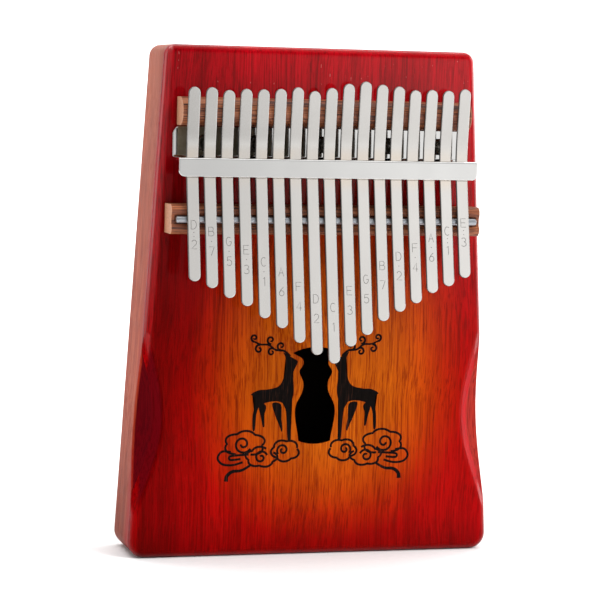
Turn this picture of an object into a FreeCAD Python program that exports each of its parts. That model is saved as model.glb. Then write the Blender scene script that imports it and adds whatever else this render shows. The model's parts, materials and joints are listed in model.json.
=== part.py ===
"""A seventeen-key thumb piano (mbira, or kalimba): a hollow wooden box with a clamped row of spring-steel tines.

The box stands on its bottom end. +Z runs up the instrument, +X to the right of someone facing the
soundboard, and the soundboard faces -Y. The origin is the centre of the bottom end face. Sizes are in
millimetres. "Rise" is the height above the soundboard's face, which is towards -Y.
"""

import FreeCAD
import Part

import math
import os

from FreeCAD import Vector

X_AXIS = Vector(1, 0, 0)
Y_AXIS = Vector(0, 1, 0)
Z_AXIS = Vector(0, 0, 1)

# The box: a flat trapezium of glued boards
LENGTH = 185.0
TOP_WIDTH = 116.0
BOTTOM_WIDTH = 137.0
DEPTH = 30.0
SOUNDBOARD_THICK = 3.5
BACK_THICK = 3.5
WALL = 12.0
TOP_CORNER_RADIUS = 4.2
BOTTOM_CORNER_RADIUS = 6.0
FRONT_EDGE_ROUND = 3.0
BACK_EDGE_ROUND = 1.8

# The scoops where the thumbs' balls rest, one on each long front edge
SCOOP_Z = 49.0
SCOOP_LENGTH = 92.0
SCOOP_IN = 9.0
SCOOP_DOWN = 8.2
SCOOP_HOLLOW = 0.5
SCOOP_STEPS = 7
SCOOP_CUTTER_SHARE = 0.94
SCOOP_CUTTER_HIGH = 9.0
SCOOP_OVER = 1.5
SCOOP_RIM_ROUND = 1.5

# The vase-shaped sound hole: half widths and heights down its right side, lip to foot
HOLE_CROWN_Z = 76.6
HOLE_SIDE = [
    (8.8, 74.4),
    (6.6, 73.2),
    (4.95, 71.9),
    (4.85, 70.1),
    (6.2, 67.8),
    (5.0, 64.6),
    (4.65, 61.8),
    (5.4, 59.1),
    (7.0, 56.1),
    (7.6, 52.8),
    (7.3, 49.4),
    (6.45, 44.9),
    (6.0, 42.0),
]
HOLE_FOOT_Z = 40.9

# Two round vents in the back, which the middle fingers cover for vibrato
VENT_RADIUS = 5.0
VENT_X = 24.0
VENT_Z = 84.0

# The block inside the box that the screws bite into
BLOCK_HALF_WIDTH = 47.0
BLOCK_LOW_Z = 140.0
BLOCK_HIGH_Z = 161.0
BLOCK_THICK = 12.0

# The tines: flat spring-steel strips, the longest in the middle
TINE_COUNT = 17
TINE_PITCH = 6.27
TINE_WIDTH = 4.3
TINE_THICK = 1.08
TINE_SLOPE = math.radians(11.0)
TAIL_SLOPE = math.radians(5.7)
BEND_Z = 145.0
BEND_RADIUS = 55.0
MIDDLE_SPEAKING_LENGTH = 50.1
END_CORRECTION = 4.35
BLANK_LENGTHS = [97.6, 93.3, 90.2, 84.4, 80.6, 76.4, 73.0, 70.4, 68.1]
MAJOR_SCALE = [0, 2, 4, 5, 7, 9, 11]
REST_GAP = 0.25
HINGE_GAP = 0.05

# The saddle rod and the grooved wooden bar that it lies in
SADDLE_Z = 123.3
ROD_RADIUS = 1.3
ROD_RISE = 11.5
ROD_LENGTH = 111.8
ROD_END_ROUND = 0.6
LOWER_BAR_LENGTH = 115.0
LOWER_BAR_WIDTH = 10.5
LOWER_BAR_EDGE = 8.6
LOWER_BAR_RIDGE = 11.3
LOWER_BAR_VALLEY = 10.6
RIDGE_OFFSET = 3.1
VALLEY_HALF_WIDTH = 1.3
CHANNEL_WIDTH = 3.2
CHANNEL_END = 1.2

# The half-round wooden bar under the tines' tails
UPPER_BAR_Z = 161.4
UPPER_BAR_LENGTH = 107.6
UPPER_BAR_WIDTH = 10.2

# The pressure plate: one sheet bent to a Z, with a slot for each tine in its riser
PLATE_LENGTH = 110.8
PLATE_THICK = 1.5
PLATE_TOP_RISE = 13.0
PLATE_LIP_Z = 138.5
RISER_Z = 143.7
FLANGE_END_Z = 156.1
LIP_BEND_INSIDE = 0.3
LIP_BEND_OUTSIDE = 0.9
FLANGE_BEND_INSIDE = 0.8
LIP_CORNER = 2.0
FLANGE_CORNER = 3.0
SLOT_SIDE_GAP = 0.3
SLOT_LOW_RISE = 8.6
SLOT_HIGH_RISE = 11.0

# The five cross-head screws that pull the plate down
SCREW_XS = [-44.0, -25.0, 0.0, 25.0, 44.0]
SCREW_Z = 150.2
SCREW_HEAD_RADIUS = 3.0
SCREW_HEAD_HIGH = 2.1
SCREW_HEAD_DOME = 1.0
SCREW_SHANK_RADIUS = 1.45
SCREW_LENGTH = 14.0
SCREW_POINT = 3.0
PILOT_GAP = 0.02
PLATE_HOLE_RADIUS = 1.7
CROSS_LONG = 3.6
CROSS_WIDE = 0.8
CROSS_DEEP = 1.2

FRONT_Y = -DEPTH / 2
BACK_Y = DEPTH / 2
TINE_HALF = TINE_THICK / 2


def at(x, rise, z):
    """The point that stands `rise` above the soundboard's face."""
    return Vector(x, FRONT_Y - rise, z)


def half_width(z):
    """Half the box's width at height z."""
    return (BOTTOM_WIDTH + (TOP_WIDTH - BOTTOM_WIDTH) * z / LENGTH) / 2


def line(a, b):
    return Part.LineSegment(a, b).toShape()


def arc(a, b, c):
    return Part.Arc(a, b, c).toShape()


def prism(edges, sweep):
    """The solid that a closed outline makes when it is swept along a vector."""
    return Part.Face(Part.Wire(Part.__sortEdges__(edges))).extrude(sweep)


def slab(y_low, y_high):
    """A block larger than the box between two depths."""
    return Part.makeBox(2 * BOTTOM_WIDTH, y_high - y_low, 2 * LENGTH, Vector(-BOTTOM_WIDTH, y_low, -LENGTH / 2))


def trapezium(inset, z_low, z_high):
    """The box's tapering outline through its whole depth, drawn in from its long sides."""
    low = half_width(z_low) - inset
    high = half_width(z_high) - inset
    corners = [
        Vector(-low, FRONT_Y, z_low),
        Vector(low, FRONT_Y, z_low),
        Vector(high, FRONT_Y, z_high),
        Vector(-high, FRONT_Y, z_high),
    ]
    edges = [line(a, b) for a, b in zip(corners, corners[1:] + corners[:1])]
    return prism(edges, DEPTH * Y_AXIS)


def scoop(side):
    """What the scoop on one side takes away: a hollow chamfer that swells and dies away along the front edge."""
    sections = []
    for step in range(-SCOOP_STEPS, SCOOP_STEPS + 1):
        share = SCOOP_CUTTER_SHARE * step / SCOOP_STEPS
        swell = math.cos(share * math.pi / 2) ** 2
        sections.append(scoop_section(side, SCOOP_Z + share * SCOOP_LENGTH / 2, swell))
    return Part.makeLoft(sections, True, False)


def scoop_section(side, z, swell):
    """The cutter's section at one height, where the chamfer has the share `swell` of its full size."""
    corner = Vector(side * half_width(z), FRONT_Y, z)
    inner = corner - side * swell * SCOOP_IN * X_AXIS
    outer = corner + swell * SCOOP_DOWN * Y_AXIS
    over = Vector(-side * SCOOP_IN, -SCOOP_DOWN, 0).normalize() * SCOOP_OVER
    away = Vector(side * SCOOP_DOWN, -SCOOP_IN, 0).normalize()
    middle = (inner + outer) / 2 - away * (2 * SCOOP_HOLLOW * swell)
    hollow = Part.BezierCurve()
    hollow.setPoles([inner + over, middle, outer - over])
    beyond = corner + away * SCOOP_CUTTER_HIGH
    return Part.Wire([hollow.toShape(), line(outer - over, beyond), line(beyond, inner + over)])


def edges_at_depth(solid, y):
    """The edges that lie flat at one depth."""
    return [e for e in solid.Edges if e.BoundBox.YMax < y + 0.01 and e.BoundBox.YMin > y - 0.01]


def box_blank():
    """The whole box as one block, shaped outside, before it is parted into boards."""
    block = trapezium(0, 0, LENGTH)
    corners = [e for e in block.Edges if e.BoundBox.YLength > DEPTH - 0.01]
    block = block.makeFillet(TOP_CORNER_RADIUS, [e for e in corners if e.CenterOfMass.z > LENGTH / 2])
    corners = [e for e in block.Edges if e.BoundBox.YLength > DEPTH - 0.01 and flat_at(e, 0)]
    block = block.makeFillet(BOTTOM_CORNER_RADIUS, corners)
    block = block.makeFillet(FRONT_EDGE_ROUND, edges_at_depth(block, FRONT_Y))
    block = block.makeFillet(BACK_EDGE_ROUND, edges_at_depth(block, BACK_Y))
    for side in (-1, 1):
        block = block.cut(scoop(side))
    rims = [e for side in (-1, 1) for e in scoop_rim(block, side)]
    return block.makeFillet(SCOOP_RIM_ROUND, rims)


def scoop_rim(block, side):
    """The long edge between a scoop and the front face. The rest of the scoop's rim runs on smoothly from it."""
    spot = Part.Vertex(Vector(side * (half_width(SCOOP_Z) - SCOOP_IN), FRONT_Y, SCOOP_Z))
    return [e for e in block.Edges if e.Length > SCOOP_LENGTH / 3 and e.distToShape(spot)[0] < SCOOP_HOLLOW]


def sound_hole():
    """The vase-shaped hole, as a plug through the soundboard."""
    right = [Vector(x, FRONT_Y - 1, z) for x, z in HOLE_SIDE]
    left = [Vector(-p.x, p.y, p.z) for p in right]
    sides = []
    for points in (right, left):
        curve = Part.BSplineCurve()
        curve.interpolate(points)
        sides.append(curve.toShape())
    crown = arc(left[0], Vector(0, FRONT_Y - 1, HOLE_CROWN_Z), right[0])
    foot = arc(left[-1], Vector(0, FRONT_Y - 1, HOLE_FOOT_Z), right[-1])
    return prism([crown, foot] + sides, (SOUNDBOARD_THICK + 2) * Y_AXIS)


def screw_hole(x, radius):
    """A straight hole on one screw's axis, through the plate, the soundboard and into the block."""
    return Part.makeCylinder(radius, SCREW_LENGTH + PLATE_THICK, at(x, 2 * PLATE_THICK, SCREW_Z), Y_AXIS)


def soundboard(blank):
    board = blank.common(slab(FRONT_Y, FRONT_Y + SOUNDBOARD_THICK)).cut(sound_hole())
    for x in SCREW_XS:
        board = board.cut(screw_hole(x, SCREW_SHANK_RADIUS + PILOT_GAP))
    return board


def back_board(blank):
    board = blank.common(slab(BACK_Y - BACK_THICK, BACK_Y))
    for x in (-VENT_X, VENT_X):
        board = board.cut(Part.makeCylinder(VENT_RADIUS, DEPTH, Vector(x, 0, VENT_Z), Y_AXIS))
    return board


def rim_boards(blank):
    """The four boards between soundboard and back: two full-length sides and an end block at each end."""
    rim = blank.common(slab(FRONT_Y + SOUNDBOARD_THICK, BACK_Y - BACK_THICK))
    between = trapezium(WALL, -1, LENGTH + 1)
    left, right = sorted(rim.cut(between).Solids, key=lambda s: s.CenterOfMass.x)
    chamber = trapezium(WALL, WALL, LENGTH - WALL)
    bottom, top = sorted(rim.common(between).cut(chamber).Solids, key=lambda s: s.CenterOfMass.z)
    return {"side_board_left": left, "side_board_right": right, "end_block_bottom": bottom, "end_block_top": top}


def screw_block():
    """The hardwood block glued under the soundboard, behind the pressure plate."""
    corner = Vector(-BLOCK_HALF_WIDTH, FRONT_Y + SOUNDBOARD_THICK, BLOCK_LOW_Z)
    block = Part.makeBox(2 * BLOCK_HALF_WIDTH, BLOCK_THICK, BLOCK_HIGH_Z - BLOCK_LOW_Z, corner)
    for x in SCREW_XS:
        block = block.cut(screw_hole(x, SCREW_SHANK_RADIUS + PILOT_GAP))
    return block


def upper_bar():
    """A bar with a half-round top, which holds the tines' tails up."""
    x = -UPPER_BAR_LENGTH / 2
    radius = UPPER_BAR_WIDTH / 2
    crown = tail_rise(UPPER_BAR_Z) - TINE_HALF / math.cos(TAIL_SLOPE) - REST_GAP
    foot_low = at(x, 0, UPPER_BAR_Z - radius)
    foot_high = at(x, 0, UPPER_BAR_Z + radius)
    shoulder_low = at(x, crown - radius, UPPER_BAR_Z - radius)
    shoulder_high = at(x, crown - radius, UPPER_BAR_Z + radius)
    top = arc(shoulder_low, at(x, crown, UPPER_BAR_Z), shoulder_high)
    edges = [line(foot_high, foot_low), line(foot_low, shoulder_low), top, line(shoulder_high, foot_high)]
    return prism(edges, UPPER_BAR_LENGTH * X_AXIS)


def lower_bar():
    """A bar with two rounded ridges and, between them, the channel that the saddle rod lies in."""
    x = -LOWER_BAR_LENGTH / 2
    half = LOWER_BAR_WIDTH / 2
    valley = at(x, LOWER_BAR_VALLEY, SADDLE_Z)
    edges = [line(at(x, 0, SADDLE_Z - half), at(x, 0, SADDLE_Z + half))]
    for side in (-1, 1):
        foot = at(x, 0, SADDLE_Z + side * half)
        shoulder = at(x, LOWER_BAR_EDGE, SADDLE_Z + side * half)
        ridge = at(x, LOWER_BAR_RIDGE, SADDLE_Z + side * RIDGE_OFFSET)
        inner = at(x, LOWER_BAR_VALLEY, SADDLE_Z + side * VALLEY_HALF_WIDTH)
        edges += [line(foot, shoulder), arc(shoulder, ridge, inner), line(inner, valley)]
    bar = prism(edges, LOWER_BAR_LENGTH * X_AXIS)
    channel_length = LOWER_BAR_LENGTH - 2 * CHANNEL_END
    floor = ROD_RISE - ROD_RADIUS
    corner = at(-channel_length / 2, floor + CHANNEL_WIDTH, SADDLE_Z - CHANNEL_WIDTH / 2)
    return bar.cut(Part.makeBox(channel_length, CHANNEL_WIDTH, CHANNEL_WIDTH, corner))


def saddle_rod():
    rod = Part.makeCylinder(ROD_RADIUS, ROD_LENGTH, at(-ROD_LENGTH / 2, ROD_RISE, SADDLE_Z), X_AXIS)
    ends = [e for e in rod.Edges if e.BoundBox.XLength < 0.01]
    return rod.makeFillet(ROD_END_ROUND, ends)


def tine_x(place):
    """Centre line of the tine at a place, from 1 at the left."""
    return (place - (TINE_COUNT + 1) / 2) * TINE_PITCH


def semitones(place):
    """The tine's note above the middle one: the scale climbs alternately left and right of the middle."""
    offset = place - (TINE_COUNT + 1) // 2
    degree = 2 * offset if offset >= 0 else -2 * offset - 1
    octave, step = divmod(degree, len(MAJOR_SCALE))
    return 12 * octave + MAJOR_SCALE[step]


def speaking_length(place):
    """From saddle to tip. A bar's pitch goes as one over its length squared."""
    full = MIDDLE_SPEAKING_LENGTH + END_CORRECTION
    return full * 2 ** (-semitones(place) / 24) - END_CORRECTION


def tongue_rise(z):
    """Rise of a tine's middle on the straight stretch that crosses the saddle."""
    over_rod = (ROD_RADIUS + REST_GAP + TINE_HALF) / math.cos(TINE_SLOPE)
    return ROD_RISE + over_rod + (SADDLE_Z - z) * math.tan(TINE_SLOPE)


def tail_rise(z):
    """Rise of a tine's middle on the straight stretch beyond the bend."""
    return tongue_rise(BEND_Z) + (z - BEND_Z) * math.tan(TAIL_SLOPE)


def hinge_z():
    """Height at which a tine's middle stands square over the saddle rod."""
    return SADDLE_Z + (ROD_RADIUS + REST_GAP + TINE_HALF) * math.sin(TINE_SLOPE)


def tine_tongue(place):
    """The plucked end: a flat strip with a round root over the saddle and a half-round tip."""
    length = (speaking_length(place) + hinge_z() - SADDLE_Z) / math.cos(TINE_SLOPE)
    half = TINE_WIDTH / 2
    root_left = Vector(-half, -TINE_HALF, 0)
    root_right = Vector(half, -TINE_HALF, 0)
    tip_left = Vector(-half, -TINE_HALF, half - length)
    tip_right = Vector(half, -TINE_HALF, half - length)
    tip = arc(tip_left, Vector(0, -TINE_HALF, -length), tip_right)
    edges = [line(root_left, root_right), line(root_right, tip_right), tip, line(tip_left, root_left)]
    strip = prism(edges, TINE_THICK * Y_AXIS)
    root = Part.makeCylinder(TINE_HALF, TINE_WIDTH, Vector(-half, 0, 0), X_AXIS)
    tongue = strip.fuse(root).removeSplitter()
    tongue.rotate(Vector(), X_AXIS, -math.degrees(TINE_SLOPE))
    tongue.translate(at(tine_x(place), tongue_rise(hinge_z()), hinge_z()))
    return tongue


def shank_side(offset, z_low, z_high):
    """One long edge of the clamped end, seen from the side, `offset` above the tine's middle.

    It is straight, then bends on an arc under the pressure plate, then is straight to the tail.
    """
    run = BEND_RADIUS * math.tan((TINE_SLOPE + TAIL_SLOPE) / 2)
    start_z = BEND_Z - run * math.cos(TINE_SLOPE)
    centre_rise = tongue_rise(start_z) + BEND_RADIUS * math.cos(TINE_SLOPE)
    centre_z = start_z + BEND_RADIUS * math.sin(TINE_SLOPE)
    radius = BEND_RADIUS - offset
    turns = [-TINE_SLOPE, (TAIL_SLOPE - TINE_SLOPE) / 2, TAIL_SLOPE]
    bend = [at(0, centre_rise - radius * math.cos(t), centre_z + radius * math.sin(t)) for t in turns]
    low = at(0, tongue_rise(z_low) + offset * math.cos(TINE_SLOPE), z_low + offset * math.sin(TINE_SLOPE))
    high = at(0, tail_rise(z_high) + offset * math.cos(TAIL_SLOPE), z_high - offset * math.sin(TAIL_SLOPE))
    return low, high, [line(low, bend[0]), arc(*bend), line(bend[2], high)]


def tine_shank(place):
    """The clamped end: from just behind the saddle, under the plate and over the upper bar, to the tail."""
    half = TINE_WIDTH / 2
    z_low = hinge_z() + (TINE_HALF + HINGE_GAP) * math.cos(TINE_SLOPE)
    tip_z = SADDLE_Z - speaking_length(place)
    tail_z = tip_z + BLANK_LENGTHS[abs(place - (TINE_COUNT + 1) // 2)]
    over_low, over_high, over = shank_side(TINE_HALF, z_low, tail_z)
    under_low, under_high, under = shank_side(-TINE_HALF, z_low, tail_z)
    strip = prism(over + under + [line(over_low, under_low), line(over_high, under_high)], TINE_WIDTH * X_AXIS)
    strip.translate(Vector(-half, 0, 0))
    square_z = tail_z - half
    plan = [
        line(Vector(-half, BACK_Y, 0), Vector(half, BACK_Y, 0)),
        line(Vector(half, BACK_Y, 0), Vector(half, BACK_Y, square_z)),
        arc(Vector(half, BACK_Y, square_z), Vector(0, BACK_Y, tail_z), Vector(-half, BACK_Y, square_z)),
        line(Vector(-half, BACK_Y, square_z), Vector(-half, BACK_Y, 0)),
    ]
    shank = strip.common(prism(plan, -2 * DEPTH * Y_AXIS))
    shank.translate(tine_x(place) * X_AXIS)
    return shank


def pressure_plate():
    x = -PLATE_LENGTH / 2
    back_z = RISER_Z + PLATE_THICK
    under = PLATE_TOP_RISE - PLATE_THICK
    outline = [
        (0, FLANGE_END_Z),
        (0, RISER_Z),
        (under, RISER_Z),
        (under, PLATE_LIP_Z),
        (PLATE_TOP_RISE, PLATE_LIP_Z),
        (PLATE_TOP_RISE, back_z),
        (PLATE_THICK, back_z),
        (PLATE_THICK, FLANGE_END_Z),
    ]
    points = [at(x, rise, z) for rise, z in outline]
    plate = prism([line(a, b) for a, b in zip(points, points[1:] + points[:1])], PLATE_LENGTH * X_AXIS)
    for corner, radius in (
        ((0, RISER_Z), FLANGE_BEND_INSIDE + PLATE_THICK),
        ((under, RISER_Z), LIP_BEND_INSIDE),
        ((PLATE_TOP_RISE, back_z), LIP_BEND_OUTSIDE),
        ((PLATE_THICK, back_z), FLANGE_BEND_INSIDE),
    ):
        plate = plate.makeFillet(radius, edges_along_x(plate, *corner))
    plate = plate.makeFillet(LIP_CORNER, edges_across_sheet(plate, PLATE_LIP_Z))
    plate = plate.makeFillet(FLANGE_CORNER, edges_across_sheet(plate, FLANGE_END_Z))
    slot_width = TINE_WIDTH + 2 * SLOT_SIDE_GAP
    for place in range(1, TINE_COUNT + 1):
        corner = at(tine_x(place) - slot_width / 2, SLOT_HIGH_RISE, RISER_Z - 1)
        plate = plate.cut(Part.makeBox(slot_width, SLOT_HIGH_RISE - SLOT_LOW_RISE, PLATE_THICK + 2, corner))
    for screw_x in SCREW_XS:
        plate = plate.cut(screw_hole(screw_x, PLATE_HOLE_RADIUS))
    return plate


def edges_along_x(solid, rise, z):
    """The long edge of a section's corner."""
    y = FRONT_Y - rise
    near = [e for e in solid.Edges if abs(e.CenterOfMass.y - y) < 0.01 and abs(e.CenterOfMass.z - z) < 0.01]
    return [e for e in near if e.BoundBox.XLength > 1]


def edges_across_sheet(solid, z):
    """The two short edges through the sheet's thickness at one height."""
    return [e for e in solid.Edges if e.BoundBox.YLength > PLATE_THICK - 0.01 and flat_at(e, z)]


def flat_at(edge, z):
    return abs(edge.BoundBox.ZMin - z) < 0.01 and abs(edge.BoundBox.ZMax - z) < 0.01


def plate_screw(x):
    """A domed cross-head screw, driven through the plate and the soundboard into the block."""
    head = Part.makeCylinder(SCREW_HEAD_RADIUS, SCREW_HEAD_HIGH, at(x, PLATE_THICK, SCREW_Z), -Y_AXIS)
    rim = edges_at_depth(head, FRONT_Y - PLATE_THICK - SCREW_HEAD_HIGH)
    head = head.makeFillet(SCREW_HEAD_DOME, rim)
    shank = Part.makeCylinder(SCREW_SHANK_RADIUS, SCREW_LENGTH - SCREW_POINT, at(x, PLATE_THICK, SCREW_Z), Y_AXIS)
    point_start = at(x, PLATE_THICK - SCREW_LENGTH + SCREW_POINT, SCREW_Z)
    point = Part.makeCone(SCREW_SHANK_RADIUS, SCREW_SHANK_RADIUS / 4, SCREW_POINT, point_start, Y_AXIS)
    screw = head.fuse([shank, point]).removeSplitter()
    for wide, high in ((CROSS_LONG, CROSS_WIDE), (CROSS_WIDE, CROSS_LONG)):
        corner = at(x - wide / 2, PLATE_THICK + SCREW_HEAD_HIGH + 1, SCREW_Z - high / 2)
        screw = screw.cut(Part.makeBox(wide, CROSS_DEEP + 1, high, corner))
    return screw


def parts():
    """Every node of the model by name."""
    blank = box_blank()
    nodes = {"soundboard": soundboard(blank), "back_board": back_board(blank)}
    nodes.update(rim_boards(blank))
    nodes["screw_block"] = screw_block()
    nodes["upper_bar"] = upper_bar()
    nodes["lower_bar"] = lower_bar()
    nodes["saddle_rod"] = saddle_rod()
    nodes["pressure_plate"] = pressure_plate()
    nodes["plate_screws"] = Part.makeCompound([plate_screw(x) for x in SCREW_XS])
    for place in range(1, TINE_COUNT + 1):
        nodes[f"tine_{place:02d}_shank"] = tine_shank(place)
        nodes[f"tine_{place:02d}_tongue"] = tine_tongue(place)
    return nodes


def main():
    os.makedirs("parts", exist_ok=True)
    for name, shape in parts().items():
        if not shape.isValid():
            raise ValueError(f"{name} is not a valid shape")
        shape.exportStep(f"parts/{name}.step")
        box = shape.BoundBox
        size = " x ".join(f"{n:.1f}" for n in (box.XLength, box.YLength, box.ZLength))
        print(f"{name:20s} {len(shape.Solids)} solid(s) {size} mm, {shape.Volume / 1000:.2f} cm3")


main()
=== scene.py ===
"""Mbira with seventeen tines: looks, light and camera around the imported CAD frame."""
import json
import math

import bmesh
import bpy
from mathutils import Matrix, Vector


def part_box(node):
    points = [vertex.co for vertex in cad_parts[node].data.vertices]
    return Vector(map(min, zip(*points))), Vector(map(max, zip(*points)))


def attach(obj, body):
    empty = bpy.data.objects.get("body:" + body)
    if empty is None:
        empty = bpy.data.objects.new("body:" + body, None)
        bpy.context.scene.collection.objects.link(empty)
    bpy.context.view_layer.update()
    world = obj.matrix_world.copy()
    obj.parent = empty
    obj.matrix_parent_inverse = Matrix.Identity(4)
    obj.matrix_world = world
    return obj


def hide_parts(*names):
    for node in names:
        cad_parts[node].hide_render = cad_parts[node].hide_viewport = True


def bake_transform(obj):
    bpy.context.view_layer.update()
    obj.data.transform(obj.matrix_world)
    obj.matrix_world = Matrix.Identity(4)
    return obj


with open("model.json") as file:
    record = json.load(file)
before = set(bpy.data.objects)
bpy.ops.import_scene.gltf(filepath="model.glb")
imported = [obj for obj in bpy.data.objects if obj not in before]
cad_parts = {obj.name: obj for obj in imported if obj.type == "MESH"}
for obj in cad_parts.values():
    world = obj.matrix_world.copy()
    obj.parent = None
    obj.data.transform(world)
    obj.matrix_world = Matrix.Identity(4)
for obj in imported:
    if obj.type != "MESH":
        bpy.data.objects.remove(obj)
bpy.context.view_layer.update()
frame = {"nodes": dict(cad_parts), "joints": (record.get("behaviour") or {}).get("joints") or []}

MM = 0.001
NODES = frame["nodes"]
JOINTS = {joint["name"]: joint for joint in frame["joints"]}
SCENE = bpy.context.scene

# The box, in mm: front face, thickness, and the straight sides that spread towards the foot.
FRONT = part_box("soundboard")[0].y / MM
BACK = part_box("back_board")[1].y / MM
BOX_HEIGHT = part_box("soundboard")[1].z / MM
BOARD_THICK = 3.5
WALL = 12.0
TOP_HALF_WIDTH = 58.0
FOOT_HALF_WIDTH = 68.5
SIDE_SPREAD = (FOOT_HALF_WIDTH - TOP_HALF_WIDTH) / BOX_HEIGHT

# Edges of the carried-over CAD pieces that turn by more than this are eased.
SHARP_ANGLE = math.radians(35)

# The tines, in mm and radians: their CAD sizes, then the radius of their long edges and the longest
# step between two corners along them.
TINE_COUNT = 17
TINE_WIDTH = 4.3
TINE_THICK = 1.08
TONGUE_SLOPE = math.radians(11.0)
TAIL_SLOPE = math.radians(5.7)
BEND_Z = 145.0
BEND_RADIUS = 55.0
TINE_EDGE = 0.27
STATION_GAP = 1.6

# A strip's material slots, and how many steps of its rounded edge still carry the face's plating.
FACE_SLOT, BACK_SLOT, EDGE_SLOT = 0, 1, 2
POLISHED_LEVELS = 3

# The share of a tine's free end, counted from the saddle, where a bend would end; build_tine works that
# point out but does not use it.
FLEX_SHARE = 0.4

# The note marks, in mm: sizes, distances from the tip, and how far they sink in and stand out.
# The scale climbs alternately left and right of the middle tine.
NOTE_LETTERS = "CDEFGAB"
MARK_HIGH = 3.1
MARK_WIDE = 1.9
MARK_STROKE = 0.2
MARK_LETTER_UP = 20.0
MARK_NUMBER_UP = 13.0
MARK_DOT = 0.36
MARK_DOT_GAP = 1.5
MARK_SINK = 0.05
MARK_RISE = 0.012

WHITE = (1.0, 1.0, 1.0, 1.0)
BLACK = (0.0, 0.0, 0.0, 1.0)


# ---------------------------------------------------------------- colour and node helpers

def srgb(red, green, blue):
    """A colour given as 0 to 255 screen values, as linear RGBA."""
    channels = []
    for value in (red, green, blue):
        share = value / 255
        channels.append(share / 12.92 if share <= 0.04045 else ((share + 0.055) / 1.055) ** 2.4)
    return (*channels, 1.0)


class Surface:
    """A node material under construction. Lengths inside it are in mm."""

    def __init__(self, name):
        self.material = bpy.data.materials.new(name)
        self.material.use_nodes = True
        self.tree = self.material.node_tree
        self.shader = self.tree.nodes["Principled BSDF"]
        coordinates = self.tree.nodes.new("ShaderNodeTexCoord")
        self.place = self.stretch(coordinates.outputs["Object"], (1 / MM, 1 / MM, 1 / MM))
        split = self.tree.nodes.new("ShaderNodeSeparateXYZ")
        self.tree.links.new(self.place, split.inputs[0])
        self.x, self.y, self.z = split.outputs

    def feed(self, socket, value):
        """Links a socket to another one, or sets it to a constant."""
        if isinstance(value, bpy.types.NodeSocket):
            self.tree.links.new(value, socket)
        else:
            socket.default_value = value

    def stretch(self, vector, scale):
        node = self.tree.nodes.new("ShaderNodeMapping")
        self.feed(node.inputs["Vector"], vector)
        node.inputs["Scale"].default_value = scale
        return node.outputs[0]

    def shift(self, vector, offset):
        node = self.tree.nodes.new("ShaderNodeVectorMath")
        self.feed(node.inputs[0], vector)
        self.feed(node.inputs[1], offset)
        return node.outputs[0]

    def math(self, operation, *values):
        node = self.tree.nodes.new("ShaderNodeMath")
        node.operation = operation
        for socket, value in zip(node.inputs, values):
            self.feed(socket, value)
        return node.outputs[0]

    def product(self, first, *others):
        for other in others:
            first = self.math("MULTIPLY", first, other)
        return first

    def step(self, value, low, high, at_low=0.0, at_high=1.0):
        """Smooth change from at_low to at_high while value goes from low to high."""
        node = self.tree.nodes.new("ShaderNodeMapRange")
        node.interpolation_type = "SMOOTHSTEP"
        for socket, number in zip(node.inputs, (value, low, high, at_low, at_high)):
            self.feed(socket, number)
        return node.outputs[0]

    def noise(self, vector, scale, detail=3.0, roughness=0.55, warp=0.0):
        node = self.tree.nodes.new("ShaderNodeTexNoise")
        self.feed(node.inputs["Vector"], self.stretch(vector, scale))
        node.inputs["Scale"].default_value = 1.0
        node.inputs["Detail"].default_value = detail
        node.inputs["Roughness"].default_value = roughness
        node.inputs["Distortion"].default_value = warp
        return node.outputs["Fac"]

    def ramp(self, value, stops):
        node = self.tree.nodes.new("ShaderNodeValToRGB")
        self.feed(node.inputs[0], value)
        elements = node.color_ramp.elements
        while len(elements) < len(stops):
            elements.new(0.5)
        for element, (position, colour) in zip(elements, stops):
            element.position = position
            element.color = colour
        return node.outputs[0]

    def mix(self, share, first, second, blend="MIX"):
        node = self.tree.nodes.new("ShaderNodeMix")
        node.data_type = "RGBA"
        node.blend_type = blend
        self.feed(node.inputs[0], share)
        self.feed(node.inputs[6], first)
        self.feed(node.inputs[7], second)
        return node.outputs[2]

    def bump(self, height, depth_mm, strength=1.0):
        node = self.tree.nodes.new("ShaderNodeBump")
        node.inputs["Strength"].default_value = strength
        node.inputs["Distance"].default_value = depth_mm * MM
        self.feed(node.inputs["Height"], height)
        self.feed(self.shader.inputs["Normal"], node.outputs[0])

    def finish(self, **sockets):
        """Sets or links the shader's own sockets, named with underscores for spaces."""
        for name, value in sockets.items():
            self.feed(self.shader.inputs[name.replace("_", " ")], value)
        return self.material


def grain(surface, along):
    """Wood figure along one axis: fine streaks, short pores and slow colour bands, each 0 to 1."""
    def scale(fine, long):
        return tuple(long if axis == along else fine for axis in "xyz")

    wander = surface.noise(surface.place, scale(0.02, 0.02), 1.0)
    drift = surface.math("MULTIPLY", surface.math("SUBTRACT", wander, 0.5), 6.0)
    combine = surface.tree.nodes.new("ShaderNodeCombineXYZ")
    for axis, socket in zip("xyz", combine.inputs):
        if axis != along:
            surface.feed(socket, drift)
    vector = surface.shift(surface.place, combine.outputs[0])
    streaks = surface.noise(vector, scale(1.9, 0.032), 4.0, 0.62)
    pores = surface.noise(vector, scale(2.3, 0.15), 2.0, 0.5)
    bands = surface.noise(vector, scale(0.16, 0.012), 2.0, 0.5)
    return streaks, pores, bands


# ---------------------------------------------------------------- materials

def half_width(surface):
    """Half the box's width at a point's height."""
    return surface.math("MULTIPLY_ADD", surface.z, -SIDE_SPREAD, FOOT_HALF_WIDTH)


def box_edge_distance(surface):
    """How far a point lies inside the box's outline as seen from the front."""
    side = surface.math("SUBTRACT", half_width(surface), surface.math("ABSOLUTE", surface.x))
    ends = surface.math("MINIMUM", surface.z, surface.math("SUBTRACT", BOX_HEIGHT, surface.z))
    return surface.math("SMOOTH_MIN", side, ends, 6.0)


def left_side_distance(surface):
    """How far a point lies to the right of the box's left side."""
    return surface.math("ADD", surface.x, half_width(surface))


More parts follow.
